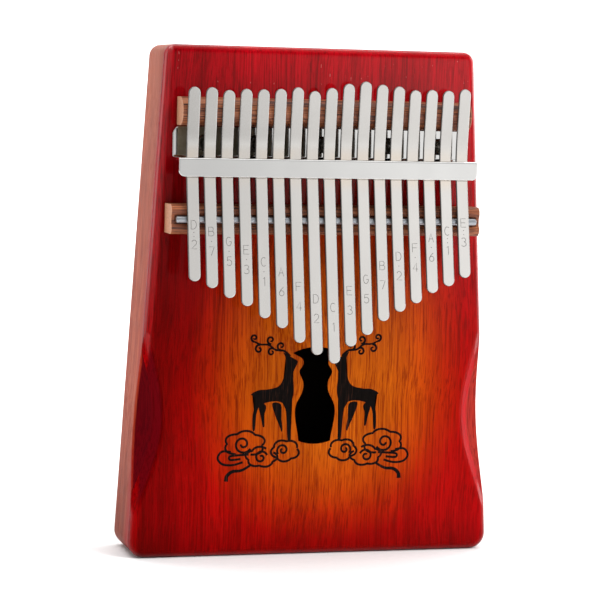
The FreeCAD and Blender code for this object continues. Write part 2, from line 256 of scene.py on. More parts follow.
def sunburst_reach(surface):
    """0 in the amber middle of the burst, 1 where it has turned red."""
    centre_x, centre_z = 5.0, 66.0
    half_wide, low, high = 50.0, 58.0, 84.0
    squareness = 2.4
    across = surface.math("DIVIDE", surface.math("SUBTRACT", surface.x, centre_x), half_wide)
    up = surface.math("SUBTRACT", surface.z, centre_z)
    above = surface.math("DIVIDE", surface.math("MAXIMUM", up, 0.0), high)
    below = surface.math("DIVIDE", surface.math("MINIMUM", up, 0.0), low)
    total = 0.0
    for part in (across, above, below):
        share = surface.math("POWER", surface.math("ABSOLUTE", part), squareness)
        total = surface.math("ADD", share, total)
    return surface.math("POWER", total, 1 / squareness)


def burst_colour(surface, streaks):
    """Amber in the middle, through orange to red, with an edge that the grain makes ragged."""
    reach = sunburst_reach(surface)
    ragged = surface.math("MULTIPLY_ADD", surface.math("SUBTRACT", streaks, 0.5), 0.3, reach)
    burst = surface.ramp(surface.math("DIVIDE", ragged, 1.6), [
        (0.0, srgb(218, 116, 18)),
        (0.3, srgb(216, 108, 16)),
        (0.45, srgb(209, 83, 10)),
        (0.56, srgb(198, 44, 7)),
        (0.66, srgb(189, 12, 7)),
        (0.9, srgb(186, 4, 11)),
    ])
    pinker = surface.mix(0.75, burst, srgb(190, 5, 26))
    return surface.mix(surface.step(surface.z, 60.0, 165.0), burst, pinker)


def rim_darkening_and_painted_shade(surface):
    """Darker red round the rim of the face: painted shade at the left, where less light falls; darker
    towards the foot, a little lighter at the head.
    """
    left = left_side_distance(surface)
    # Painted shade: the face darker towards its left side, deepest below the head.
    darkest = surface.step(surface.z, 120.0, 170.0, 0.42, 0.62)
    painted_left_shade = surface.step(left, 4.0, 32.0, darkest, 1.0)
    # The rounded left edge stays out of the painted shade, so it shows lighter, like a highlight.
    edge_out_of_shade = surface.step(left, 5.0, 1.5)
    painted_left_shade = surface.math("MAXIMUM", painted_left_shade, edge_out_of_shade)
    foot_shade = surface.step(surface.z, 0.0, 18.0, 0.66, 1.0)
    head_shade = surface.step(surface.z, 110.0, 170.0, 0.78, 0.9)
    return surface.product(painted_left_shade, foot_shade, head_shade)


def board_flecks(surface):
    """Small pale specks in the lacquer near the head."""
    specks = surface.step(surface.noise(surface.place, (1.5, 1.5, 0.42), 1.0), 0.77, 0.81)
    return surface.product(specks, surface.step(surface.z, 150.0, 172.0, 0.0, 0.45))


def board_scoop(surface, low, high):
    """0 on the face, rising to 1 in the thumb scoops between two depths behind the face."""
    deep = surface.step(surface.y, FRONT + low, FRONT + high)
    return surface.product(deep, surface.step(box_edge_distance(surface), 1.8, 3.0))


def hole_shade_mask(surface):
    """1 inside the box and the sound hole, where near-black painted shade goes, 0 on what is seen from
    outside.
    """
    behind_face = surface.step(surface.y, FRONT + 0.03, FRONT + 0.08)
    return surface.product(behind_face, surface.step(box_edge_distance(surface), WALL, WALL + 1.0))


def lacquer_coat(surface):
    """How thick the clear lacquer looks: most at the head and the right, and along the left edge."""
    coat = surface.math("POWER", surface.step(surface.z, 0.0, BOX_HEIGHT), 2.2)
    coat = surface.math("MULTIPLY_ADD", coat, 0.42, 0.02)
    below_head = surface.step(surface.z, BOX_HEIGHT - 3.4, BOX_HEIGHT - 2.0, 1.0, 0.1)
    coat = surface.product(coat, below_head, surface.step(surface.x, -60.0, 60.0, 0.2, 0.62))
    left_edge = surface.step(left_side_distance(surface), 3.0, 2.0)
    left_edge = surface.product(left_edge, surface.step(surface.z, 60.0, 130.0, 0.0, 0.7))
    return surface.math("MAXIMUM", coat, left_edge)


def lacquered_board():
    """Soundboard: amber to crimson burst under gloss lacquer, with painted shade at the left side and in the
    left scoop, and near-black painted shade in the sound hole.
    """
    s = Surface("sunburst_lacquer")
    streaks, pores, bands = grain(s, "z")
    figure = s.ramp(streaks, [
        (0.38, srgb(150, 105, 92)),
        (0.5, srgb(232, 222, 216)),
        (0.6, srgb(255, 255, 250)),
    ])
    colour = s.mix(0.8, burst_colour(s, streaks), figure, "MULTIPLY")
    lines = s.step(pores, 0.42, 0.34)
    colour = s.mix(s.product(lines, 0.4), colour, srgb(84, 6, 4))
    colour = s.mix(board_flecks(s), colour, srgb(240, 160, 155))
    tone = s.ramp(bands, [(0.35, srgb(215, 200, 195)), (0.65, WHITE)])
    colour = s.mix(0.7, colour, tone, "MULTIPLY")
    # Painted shade at the left side, and darker towards the foot.
    colour = s.mix(1.0, colour, s.ramp(rim_darkening_and_painted_shade(s), [(0.0, BLACK), (1.0, WHITE)]), "MULTIPLY")
    # The scoops: painted shade, dark at the left and bright at the right, where the light falls.
    crimson = s.mix(s.step(s.x, -30.0, 30.0), srgb(104, 5, 14), srgb(176, 14, 20))
    crimson = s.mix(0.5, crimson, figure, "MULTIPLY")
    colour = s.mix(board_scoop(s, 0.1, 1.3), colour, crimson)
    # Painted shade: near-black inside the box and on the sound hole's edges.
    colour = s.mix(hole_shade_mask(s), colour, srgb(6, 3, 2))
    s.bump(s.math("SUBTRACT", streaks, s.product(lines, 0.6)), 0.015, 0.4)
    depth = s.math("SUBTRACT", s.y, FRONT)
    out_of_scoop = s.math("SUBTRACT", 1.0, board_scoop(s, 0.02, 0.3))
    shiny = s.product(s.step(depth, 1.4, 2.4, 1.0, 0.0), out_of_scoop)
    return s.finish(
        Base_Color=colour,
        Roughness=s.step(streaks, 0.3, 0.7, 0.3, 0.2),
        Specular_IOR_Level=s.math("MULTIPLY_ADD", shiny, 0.48, 0.02),
        Specular_Tint=srgb(255, 40, 30),
        Coat_Weight=s.product(lacquer_coat(s), shiny),
        Coat_Roughness=0.06,
        Coat_IOR=1.8,
    )


def side_wood(surface, streaks, lines, bands):
    """Red-brown wood with a painted sheen that pales it towards the head, and darker towards the foot."""
    wood = surface.ramp(streaks, [
        (0.32, srgb(132, 52, 30)),
        (0.5, srgb(172, 76, 48)),
        (0.68, srgb(188, 98, 66)),
    ])
    tone = surface.ramp(bands, [(0.3, srgb(205, 180, 175)), (0.7, WHITE)])
    wood = surface.mix(0.8, wood, tone, "MULTIPLY")
    wood = surface.mix(surface.product(lines, 0.5), wood, srgb(70, 16, 9))
    # Painted sheen: paler towards the head.
    wood = surface.mix(surface.step(surface.z, 90.0, 180.0, 0.0, 0.25), wood, srgb(180, 116, 92))
    foot = surface.ramp(surface.step(surface.z, 0.0, 70.0), [(0.0, srgb(206, 196, 190)), (1.0, WHITE)])
    return surface.mix(1.0, wood, foot, "MULTIPLY")


def scoop_stain_and_painted_shade(surface, streaks, crimson):
    """The scoops' crimson stain with painted shade: deep at the left, brighter at the right where the light
    falls, streaked by the grain.
    """
    # Painted shade: the left scoop darker than the right.
    stain_and_shade = surface.mix(surface.step(surface.x, -30.0, 30.0), srgb(96, 4, 12), crimson)
    return surface.mix(surface.product(surface.step(streaks, 0.56, 0.4), 0.55), stain_and_shade, srgb(58, 2, 8))


def hollow_shade_mask(surface):
    """1 in the hollow of the box, where near-black painted shade goes, 0 outside it and through the back
    board's thickness.
    """
    inner = surface.step(box_edge_distance(surface), WALL - 0.6, WALL - 0.2)
    back_face = surface.step(surface.y, BACK - BOARD_THICK + 0.05, BACK - BOARD_THICK + 0.1)
    return surface.product(inner, surface.math("SUBTRACT", 1.0, back_face))


def satin_box():
    """Rims and back: red-brown satin wood, sprayed crimson along the front edge and in the scoops, with
    painted shade in the left scoop and near-black painted shade inside the box.
    """
    s = Surface("satin_red_wood")
    streaks, pores, bands = grain(s, "z")
    lines = s.step(pores, 0.38, 0.3)
    colour = side_wood(s, streaks, lines, bands)
    crimson = s.mix(0.25, srgb(158, 9, 14), colour)
    depth = s.math("SUBTRACT", s.y, FRONT)
    reach = s.step(s.z, 0.0, 150.0, 13.0, 9.0)
    spray = s.step(depth, s.math("SUBTRACT", reach, 7.0), reach, 0.85, 0.0)
    colour = s.mix(spray, colour, crimson)
    seam = s.math("ABSOLUTE", s.math("SUBTRACT", depth, BOARD_THICK + 0.1))
    colour = s.mix(s.step(seam, 0.22, 0.08, 0.0, 0.75), colour, srgb(40, 6, 5))
    in_scoop = s.product(s.step(box_edge_distance(s), 0.25, 0.9), s.step(depth, 13.0, 11.0))
    colour = s.mix(in_scoop, colour, scoop_stain_and_painted_shade(s, streaks, crimson))
    # Painted shade: near-black inside the box.
    colour = s.mix(hollow_shade_mask(s), colour, srgb(14, 9, 7))
    s.bump(s.math("SUBTRACT", streaks, s.product(lines, 0.6)), 0.03, 0.6)
    return s.finish(
        Base_Color=colour,
        Roughness=s.step(streaks, 0.3, 0.7, 0.44, 0.32),
        Specular_IOR_Level=0.015,
        Specular_Tint=srgb(255, 190, 180),
    )


def bar_half_length(surface):
    """Half the length of whichever bar a point is on."""
    lower, upper = (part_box(name)[1].x / MM for name in ("lower_bar", "upper_bar"))
    between = (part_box("lower_bar")[1].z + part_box("upper_bar")[0].z) / 2 / MM
    return surface.step(surface.z, between - 0.1, between + 0.1, lower, upper)


def rosewood():
    """The two bars: oiled rosewood with fine dark streaks along them and pale sawn ends."""
    s = Surface("rosewood")
    streaks, pores, bands = grain(s, "x")
    colour = s.ramp(streaks, [
        (0.38, srgb(78, 34, 16)),
        (0.5, srgb(156, 84, 46)),
        (0.64, srgb(196, 120, 72)),
    ])
    tone = s.ramp(bands, [(0.35, srgb(180, 156, 140)), (0.65, WHITE)])
    colour = s.mix(0.8, colour, tone, "MULTIPLY")
    lines = s.step(pores, 0.4, 0.32)
    colour = s.mix(s.product(lines, 0.6), colour, srgb(54, 24, 15))
    sawn_end = s.mix(lines, srgb(196, 138, 104), srgb(140, 86, 60))
    past_end = s.math("SUBTRACT", s.math("ABSOLUTE", s.x), bar_half_length(s))
    colour = s.mix(s.step(past_end, -0.25, -0.05), colour, sawn_end)
    s.bump(s.math("SUBTRACT", streaks, s.product(lines, 0.8)), 0.06, 0.7)
    return s.finish(Base_Color=colour, Roughness=s.step(streaks, 0.3, 0.7, 0.62, 0.46))


def block_wood():
    """The hidden screw block: plain dark hardwood."""
    s = Surface("block_wood")
    streaks, pores, _ = grain(s, "x")
    base = s.ramp(streaks, [(0.3, srgb(52, 24, 18)), (0.7, srgb(96, 52, 36))])
    s.bump(pores, 0.05, 0.6)
    return s.finish(Base_Color=base, Roughness=0.6)


def nickel(name, base, roughness, along, warm=0.0):
    """Plated steel with fine polish marks and faint smears. Warm tints it near the clamp."""
    s = Surface(name)
    fine = tuple(0.04 if axis == along else 5.0 for axis in "xyz")
    polish = s.noise(s.place, fine, 2.0)
    smear = s.noise(s.place, (0.05, 0.05, 0.035), 2.0)
    dark = tuple(channel * 0.95 for channel in base[:3]) + (1.0,)
    colour = s.mix(s.step(smear, 0.35, 0.65), dark, base)
    from_clamp = s.math("ABSOLUTE", s.math("SUBTRACT", s.z, BEND_Z - 3.0))
    tint = s.product(s.step(from_clamp, 9.0, 4.0, 0.0, warm), s.step(smear, 0.4, 0.6, 0.3, 0.8))
    colour = s.mix(tint, colour, srgb(216, 204, 190))
    s.bump(polish, 0.0006, 0.3)
    return s.finish(
        Base_Color=colour,
        Metallic=1.0,
        Roughness=s.math("MULTIPLY_ADD", s.math("SUBTRACT", smear, 0.5), 0.04, roughness),
    )


def raw_steel():
    """The undersides of the tines, left unpolished."""
    s = Surface("raw_steel")
    mottle = s.noise(s.place, (0.8, 0.8, 0.3), 3.0)
    colour = s.ramp(mottle, [(0.3, srgb(176, 168, 142)), (0.7, srgb(206, 198, 172))])
    return s.finish(Base_Color=colour, Metallic=0.35, Roughness=0.45)


def sheared_edge_and_painted_shade():
    """The cut sides of the tines: dull steel, darker than the plating on their faces, and darkened further
    as painted shade that outlines the strips.
    """
    s = Surface("sheared_edge_and_painted_shade")
    drag = s.noise(s.place, (1.0, 4.0, 0.3), 2.0)
    colour = s.ramp(drag, [(0.3, srgb(84, 82, 80)), (0.7, srgb(112, 110, 107))])
    return s.finish(Base_Color=colour, Metallic=0.75, Roughness=0.38)


def etched_mark():
    """Note marks: lines etched into the plating, matt and darker."""
    s = Surface("etched_mark")
    speckle = s.noise(s.place, (6.0, 6.0, 6.0), 2.0)
    colour = s.ramp(speckle, [(0.3, srgb(104, 102, 100)), (0.7, srgb(134, 132, 129))])
    s.bump(speckle, 0.01, 0.6)
    return s.finish(Base_Color=colour, Metallic=0.6, Roughness=0.5)


def black_oxide():
    """Screws: patchy blackened steel that still glints."""
    s = Surface("black_oxide")
    patch = s.noise(s.place, (1.6, 1.6, 1.6), 3.0)
    colour = s.ramp(patch, [(0.3, srgb(58, 54, 50)), (0.7, srgb(112, 107, 101))])
    s.bump(patch, 0.01, 0.5)
    return s.finish(Base_Color=colour, Metallic=1.0, Roughness=s.step(patch, 0.3, 0.7, 0.14, 0.26))


def burnt_wood():
    """The burnt-in picture: nearly matt charred grain."""
    s = Surface("burnt_wood")
    streaks, pores, _ = grain(s, "z")
    colour = s.ramp(streaks, [(0.35, srgb(6, 3, 2)), (0.56, srgb(14, 8, 6)), (0.7, srgb(58, 30, 20))])
    s.bump(pores, 0.02, 0.5)
    return s.finish(
        Base_Color=colour,
        Roughness=0.45,
        Specular_IOR_Level=0.03,
        Coat_Weight=0.03,
        Coat_Roughness=0.1,
    )


def backdrop_paper():
    """Plain white paper."""
    s = Surface("backdrop_paper")
    tooth = s.noise(s.place, (0.4, 0.4, 0.4), 2.0)
    colour = s.ramp(tooth, [(0.3, srgb(248, 248, 248)), (0.7, srgb(251, 251, 251))])
    return s.finish(Base_Color=colour, Roughness=1.0, Specular_IOR_Level=0.0)


# ---------------------------------------------------------------- mesh helpers

def new_piece(name, bm, material, smooth=True):
    """A mesh object from bm, whose lengths are in mm."""
    bmesh.ops.scale(bm, vec=(MM, MM, MM), verts=bm.verts)
    bmesh.ops.recalc_face_normals(bm, faces=bm.faces)
    for face in bm.faces:
        face.smooth = smooth
    mesh = bpy.data.meshes.new(name)
    bm.to_mesh(mesh)
    bm.free()
    mesh.materials.append(material)
    piece = bpy.data.objects.new(name, mesh)
    SCENE.collection.objects.link(piece)
    return piece


def smooth_line(points, closed=False, steps=6):
    """Points on a Catmull-Rom curve through the given ones."""
    count = len(points)
    spans = count if closed else count - 1
    curve = []
    for index in range(spans):
        if closed:
            four = [points[(index + k) % count] for k in (-1, 0, 1, 2)]
        else:
            four = [points[min(max(index + k, 0), count - 1)] for k in (-1, 0, 1, 2)]
        curve += [catmull_rom(four, step / steps) for step in range(steps)]
    if not closed:
        curve.append(points[-1])
    return curve


def catmull_rom(four, t):
    """The point at share t between the middle two of four points."""
    before, start, end, after = map(Vector, four)
    slope_in = (end - before) / 2
    slope_out = (after - start) / 2
    cubic = 2 * start - 2 * end + slope_in + slope_out
    square = 3 * end - 3 * start - 2 * slope_in - slope_out
    return tuple(((cubic * t + square) * t + slope_in) * t + start)


def bow(centre, radii, start, end, steps=10):
    """Points on an elliptical arc, in degrees."""
    points = []
    for step in range(steps + 1):
        angle = math.radians(start + (end - start) * step / steps)
        points.append((centre[0] + radii[0] * math.cos(angle), centre[1] + radii[1] * math.sin(angle)))
    return points


def sideways(points, index, closed):
    """Unit direction square to a line of points at one of them."""
    count = len(points)
    if closed:
        before, after = points[index - 1], points[(index + 1) % count]
    else:
        before, after = points[max(index - 1, 0)], points[min(index + 1, count - 1)]
    along = Vector((after[0] - before[0], after[1] - before[1])).normalized()
    return Vector((-along.y, along.x))


def add_stroke(bm, points, widths, low, high, place, closed=False):
    """A closed solid that follows a line: place(u, v, height) gives each corner in mm."""
    rings = []
    for index, point in enumerate(points):
        out = sideways(points, index, closed) * widths[index] / 2
        left, right = Vector(point) + out, Vector(point) - out
        corners = [place(*left, high), place(*right, high), place(*right, low), place(*left, low)]
        rings.append([bm.verts.new(corner) for corner in corners])
    pairs = list(zip(rings, rings[1:]))
    if closed:
        pairs.append((rings[-1], rings[0]))
    for here, there in pairs:
        for k in range(4):
            bm.faces.new((here[k], here[(k + 1) % 4], there[(k + 1) % 4], there[k]))
    if not closed:
        bm.faces.new(rings[0])
        bm.faces.new(rings[-1])


def add_plate(bm, outline, low, high, place):
    """A closed flat solid over a closed outline."""
    top = [bm.verts.new(place(*point, high)) for point in outline]
    bottom = [bm.verts.new(place(*point, low)) for point in outline]
    faces = [bm.faces.new(top), bm.faces.new(bottom)]
    for k in range(len(top)):
        after = (k + 1) % len(top)
        bm.faces.new((top[k], top[after], bottom[after], bottom[k]))
    bmesh.ops.triangulate(bm, faces=faces)


def weigh_edges(bm, ease):
    """Marks the sharp edges of a mesh in mm for easing, each by ease(x, z) at its two ends."""
    weight = bm.edges.layers.float.new("bevel_weight_edge")
    for edge in bm.edges:
        if len(edge.link_faces) == 2 and edge.calc_face_angle() > SHARP_ANGLE:
            edge[weight] = min(ease(corner.co.x, corner.co.z) for corner in edge.verts)


def eased_copy(name, node, width, ease, material):
    """Stands for a CAD node, with its sharp edges rounded by width times ease(x, z), all in mm."""
    bm = bmesh.new()
    bm.from_mesh(NODES[node].data)
    bmesh.ops.remove_doubles(bm, verts=bm.verts, dist=1e-6)
    bmesh.ops.dissolve_limit(bm, angle_limit=math.radians(0.5), verts=bm.verts, edges=bm.edges)
    bmesh.ops.scale(bm, vec=(1 / MM, 1 / MM, 1 / MM), verts=bm.verts)
    weigh_edges(bm, ease)
    piece = new_piece(name, bm, material)
    bevel = piece.modifiers.new("eased_edges", "BEVEL")
    bevel.width = width * MM
    bevel.segments = 3
    bevel.limit_method = "WEIGHT"
    flat = piece.modifiers.new("flat_faces_stay_flat", "WEIGHTED_NORMAL")
    flat.keep_sharp = True
    flat.weight = 100
    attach(piece, "sound_box")
    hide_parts(node)


def even_ease(x, z):
    """Every sharp edge is eased alike."""
    return 1.0


def plate_ease(x, z):
    """The plate's ends are rounded off well; its slots and holes are only deburred."""
    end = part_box("pressure_plate")[1].x / MM
    return 1.0 if abs(x) > end - 3.1 else 0.2


# ---------------------------------------------------------------- tines

class TineLine:
    """The middle line of one tine seen from the side, by distance from its tip, in mm."""

    def __init__(self, number):
        self.name = f"tine_{number:02d}"
        pivot = Vector(JOINTS[f"pluck_{number:02d}"]["pos_m"]) / MM
        self.x = pivot.x
        half = TINE_THICK / 2
        tip_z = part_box(self.name + "_tongue")[0].z / MM + half * math.sin(TONGUE_SLOPE)
        tail_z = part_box(self.name + "_shank")[1].z / MM - half * math.sin(TAIL_SLOPE)
        run = BEND_RADIUS * math.tan((TONGUE_SLOPE + TAIL_SLOPE) / 2)
        self.bend_from = (BEND_Z - tip_z) / math.cos(TONGUE_SLOPE) - run
        self.bend_to = self.bend_from + BEND_RADIUS * (TONGUE_SLOPE + TAIL_SLOPE)
        self.pivot_at = (pivot.z - tip_z) / math.cos(TONGUE_SLOPE)
        self.tip = pivot - self.pivot_at * self.direction(0)
        self.length = self.bend_to + (tail_z - self.middle(self.bend_to).z) / math.cos(TAIL_SLOPE)

    def lean(self, along):
        """Angle from upright: below zero while it comes nearer the soundboard going up."""
        turned = (along - self.bend_from) / BEND_RADIUS
        return min(max(turned - TONGUE_SLOPE, -TONGUE_SLOPE), TAIL_SLOPE)

    def direction(self, along):
        """Unit direction from tip to tail."""
        lean = self.lean(along)
        return Vector((0, -math.sin(lean), math.cos(lean)))

    def middle(self, along):
        """Point on the line: a straight tongue, the bend under the plate, and a straight tail."""
        straight = min(along, self.bend_from)
        point = self.tip + straight * self.direction(0)
        if along > self.bend_from:
            lean = self.lean(along)
            out = BEND_RADIUS * (math.cos(TONGUE_SLOPE) - math.cos(lean))
            up = BEND_RADIUS * (math.sin(lean) + math.sin(TONGUE_SLOPE))
            point += Vector((0, -out, up))
        if along > self.bend_to:
            point += (along - self.bend_to) * self.direction(along)
        return point

    def place(self, across, along, height):
        """A point beside, along and above the middle line."""
        up = self.direction(along)
        outward = Vector((0, -up.z, up.y))
        return self.middle(along) + Vector((across, 0, 0)) + outward * height


def tine_sections():
    """Loops round the strip from its top face, over the eased edge, to the back: inset and height."""
    half = TINE_THICK / 2
    top = [(TINE_EDGE + 0.1, half), (TINE_EDGE, half)]
    for degrees in (22.5, 45, 67.5, 90):
        angle = math.radians(degrees)
        top.append((TINE_EDGE * (1 - math.sin(angle)), half - TINE_EDGE * (1 - math.cos(angle))))
    return top + [(inset, -height) for inset, height in reversed(top)]


def tine_loop(line, inset, height):
    """Corners on one side of the strip from tip to tail: distance across and along."""
    end = TINE_WIDTH / 2
    radius = end - inset
    arc = [math.radians(10 * step) for step in range(10)]
    corners = [(radius * math.sin(a), end - radius * math.cos(a)) for a in arc]
    count = math.ceil((line.length - 2 * end) / STATION_GAP)
    for step in range(1, count):
        corners.append((radius, end + (line.length - 2 * end) * step / count))
    corners += [(radius * math.sin(a), line.length - end + radius * math.cos(a)) for a in reversed(arc)]
    return corners


def tine_mesh(line):
    """The strip as one closed skin of rings, each with its right and left half."""
    bm = bmesh.new()
    rings = []
    for inset, height in tine_sections():
        side = tine_loop(line, inset, height)
        right = [bm.verts.new(line.place(across, along, height)) for across, along in side]
        inner = side[1:-1]
        left = [bm.verts.new(line.place(-across, along, height)) for across, along in inner]
        rings.append((right, [right[0]] + left + [right[-1]]))
    cover_face(bm, *rings[0], FACE_SLOT)
    cover_face(bm, *rings[-1], BACK_SLOT)
    for level, (here, there) in enumerate(zip(rings, rings[1:])):
        slot = FACE_SLOT if level < POLISHED_LEVELS else EDGE_SLOT
        for side in (0, 1):
            join_sides(bm, here[side], there[side], slot)
    return bm


def cover_face(bm, right, left, slot):
    """Quads across the flat between its two sides, which share their end corners."""
    for k in range(len(right) - 1):
        corners = [right[k], right[k + 1], left[k + 1], left[k]]
        bm.faces.new(list(dict.fromkeys(corners))).material_index = slot


def join_sides(bm, first, second, slot):
    """Quads between one side of a ring and the same side of the next."""
    for k in range(len(first) - 1):
        bm.faces.new((first[k], first[k + 1], second[k + 1], second[k])).material_index = slot


def build_tine(number, metals, mark_metal):
    """One strip and its marks, which stand for the tine's shank and tongue; the ends of a bend are worked
    out but not used.
    """
    line = TineLine(number)
    tongue, shank = line.name + "_tongue", line.name + "_shank"
    start = line.middle(line.pivot_at) * MM
    end = line.middle(line.pivot_at * (1 - FLEX_SHARE)) * MM
    piece = new_piece(line.name + "_strip", tine_mesh(line), metals[FACE_SLOT])
    for metal in metals[FACE_SLOT + 1:]:
        piece.data.materials.append(metal)
    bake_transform(piece)
    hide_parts(shank, tongue)
    marks = new_piece(line.name + "_marks", note_marks(line, number), mark_metal, smooth=False)
    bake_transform(marks)


# Single-stroke characters in a box one wide and one high.
STROKES = {
    "A": [[(0, 0), (0.5, 1), (1, 0)], [(0.2, 0.38), (0.8, 0.38)]],
    "B": [
        [(0, 0.53), (0, 1), (0.55, 1)] + bow((0.55, 0.765), (0.35, 0.235), 80, -90) + [(0, 0.53)],
        [(0, 0.53), (0, 0), (0.6, 0)] + bow((0.6, 0.265), (0.4, 0.265), -80, 90),
    ],
    "C": [bow((0.5, 0.5), (0.5, 0.5), 50, 310, 16)],
    "D": [[(0, 0), (0, 1), (0.4, 1)] + bow((0.4, 0.5), (0.6, 0.5), 80, -90, 12) + [(0, 0)]],
    "E": [[(1, 1), (0, 1), (0, 0), (1, 0)], [(0, 0.52), (0.85, 0.52)]],
    "F": [[(1, 1), (0, 1), (0, 0)], [(0, 0.52), (0.85, 0.52)]],
    "G": [bow((0.5, 0.5), (0.5, 0.5), 50, 350, 16) + [(1, 0.48), (0.6, 0.48)]],
    "1": [[(0.3, 0.8), (0.6, 1), (0.6, 0)]],
    "2": [bow((0.5, 0.7), (0.45, 0.3), 160, -35) + [(0, 0), (1, 0)]],
    "3": [bow((0.45, 0.76), (0.42, 0.24), 150, -85), bow((0.45, 0.27), (0.5, 0.27), 85, -150)],
    "4": [[(0.72, 0), (0.72, 1), (0, 0.3), (1, 0.3)]],
    "5": [[(0.92, 1), (0.2, 1), (0.12, 0.55)] + bow((0.48, 0.33), (0.48, 0.33), 125, -150, 14)],
    "6": [[(0.85, 1), (0.3, 0.66), (0.06, 0.36)] + bow((0.5, 0.3), (0.45, 0.3), 170, -190, 18)],
    "7": [[(0, 1), (1, 1), (0.4, 0)]],
}


def note_name(number):
    """Letter, scale degree and octave dots of a tine."""
    offset = number - (TINE_COUNT + 1) // 2
    degree = 2 * offset if offset >= 0 else -2 * offset - 1
    octave, step = divmod(degree, len(NOTE_LETTERS))
    return NOTE_LETTERS[step], str(step + 1), octave


def note_marks(line, number):
    """The letter, the octave dots and the scale digit on one tine, in one mesh."""
    letter, degree, dots = note_name(number)
    bm = bmesh.new()
    add_character(bm, line, letter, MARK_LETTER_UP)
    add_character(bm, line, degree, MARK_NUMBER_UP)
    middle = (MARK_LETTER_UP + MARK_NUMBER_UP) / 2
    for dot in range(dots):
        centre = middle + (dot - (dots - 1) / 2) * MARK_DOT_GAP
        outline = bow((0, centre), (MARK_DOT / 2, MARK_DOT / 2), 0, 315, 7)
        add_plate(bm, outline, TINE_THICK / 2 - MARK_SINK, TINE_THICK / 2 + MARK_RISE, line.place)
    return bm


def add_character(bm, line, character, middle):
    """One character's strokes, centred at a distance from the tip."""
    low, high = TINE_THICK / 2 - MARK_SINK, TINE_THICK / 2 + MARK_RISE
    for stroke in STROKES[character]:
        points = [((u - 0.5) * MARK_WIDE, middle + (v - 0.5) * MARK_HIGH) for u, v in stroke]
        widths = [MARK_STROKE] * len(points)
        add_stroke(bm, points, widths, low, high, line.place)


# ---------------------------------------------------------------- picture on the soundboard

def scalloped(centre, radii, lumps, start, end, depth=0.19):
    """A cloud edge: an elliptical arc that swells into round lumps."""
    points = []
    steps = 8 * lumps
    for step in range(steps + 1):
        share = step / steps
        angle = math.radians(start + (end - start) * share)
        swell = 1 + depth * abs(math.sin(math.pi * lumps * share))
        out = radii[0] * swell * math.cos(angle)
        up = radii[1] * swell * math.sin(angle)
        points.append((centre[0] + out, centre[1] + up))
    return points


def curl(centre, radius, start, turns, way=1):
    """A spiral that winds in to its centre."""
    steps = round(20 * turns)
    points = []
    for step in range(steps + 1):
        share = step / steps
        angle = math.radians(start) + way * 2 * math.pi * turns * share
        reach = radius * (1 - 0.82 * share)
        points.append((centre[0] + reach * math.cos(angle), centre[1] + reach * math.sin(angle)))
    return points


# The picture's right half, as (distance from the middle, height) in mm.
STAG_BODY = [
    (8.9, 42.6), (9.1, 49.5), (9.0, 55.5), (8.2, 60.0), (8.4, 64.0), (8.6, 67.0), (7.7, 69.2),
    (6.9, 71.2), (7.9, 72.1), (9.4, 72.9), (11.0, 73.9), (12.4, 74.6), (11.6, 72.6), (11.4, 69.6),
    (12.0, 65.8), (13.8, 62.4), (17.8, 61.2), (21.4, 60.9), (24.2, 59.4), (23.2, 58.4), (22.9, 55.4),
    (23.5, 51.0), (23.4, 46.4), (22.5, 46.4), (22.3, 50.8), (20.9, 55.0), (17.0, 56.6), (12.9, 56.4),
    (11.2, 54.0), (10.6, 49.0), (10.1, 42.6),
]
STAG_FAR_FORELEG = [
    (12.9, 55.6), (16.2, 56.0), (15.0, 51.6), (13.2, 47.4), (12.5, 45.6), (12.1, 46.6), (12.6, 50.6),
]
STAG_FAR_HINDLEG = [
    (19.6, 56.0), (21.2, 54.6), (20.4, 51.2), (19.6, 47.6), (18.9, 47.8), (19.2, 51.4), (18.4, 54.6),
]
ANTLER_STROKES = [
    smooth_line([(9.8, 73.2), (12.2, 75.2), (15.4, 75.6), (18.0, 77.4), (21.0, 77.6), (23.4, 78.6)]),
    curl((13.3, 77.0), 1.7, -100, 1.1),
    curl((17.2, 79.2), 1.6, -95, 1.1),
    curl((16.9, 74.8), 1.5, 120, 1.1, -1),
    curl((21.6, 75.9), 1.6, 100, 1.1, -1),
    curl((23.4, 80.0), 1.4, -90, 1.2),
]
CLOUD_STROKES = [
    scalloped((26.2, 41.2), (6.6, 4.1), 5, -60, 250),
    curl((26.9, 41.2), 3.4, -150, 1.4),
    scalloped((19.8, 36.4), (5.1, 3.2), 5, -210, 110),
    curl((20.0, 36.2), 2.5, 160, 1.3, -1),
    scalloped((10.9, 38.6), (4.6, 3.4), 5, -190, 165),
    curl((11.8, 38.8), 2.3, -40, 1.3),
    smooth_line([(31.2, 38.4), (34.6, 38.6), (36.2, 36.2), (34.4, 34.0), (30.6, 33.6), (26.8, 34.6)]),
    smooth_line([(24.6, 37.4), (28.0, 37.2), (31.6, 36.8), (31.4, 35.5), (27.6, 35.8)]),
]
CLOUD_TAIL = [(23.6, 33.6), (27.2, 31.6), (30.6, 31.2), (32.6, 29.6), (32.9, 27.6)]

# Line widths, and how far the shapes sink in and stand out, in mm. Shapes that cross differ in rise,
# so that no two faces lie in one plane.
ANTLER_WIDTH, ANTLER_TIP_WIDTH = 0.85, 0.65
CLOUD_WIDTH, CLOUD_TAIL_WIDTH = 0.84, 1.54
PICTURE_LOW = -0.06
BODY_RISE = 0.030
LEG_RISE = 0.026
CLOUD_TAIL_RISE = 0.022
ANTLER_RISE = 0.020
CLOUD_RISE = 0.012
RISE_STEP = 0.001


def build_picture(material):
    """Two plain stags on swirling clouds, mirrored about the sound hole, burnt into the board."""
    bm = bmesh.new()
    for side in (-1, 1):
        add_stag(bm, side)
        add_clouds(bm, side)
    piece = new_piece("burnt_picture", bm, material, smooth=False)
    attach(piece, "sound_box")


def on_board(side):
    """Maps distance from the middle, height, and rise above the board to a point."""
    return lambda out, z, rise: Vector((side * out, FRONT - rise, z))


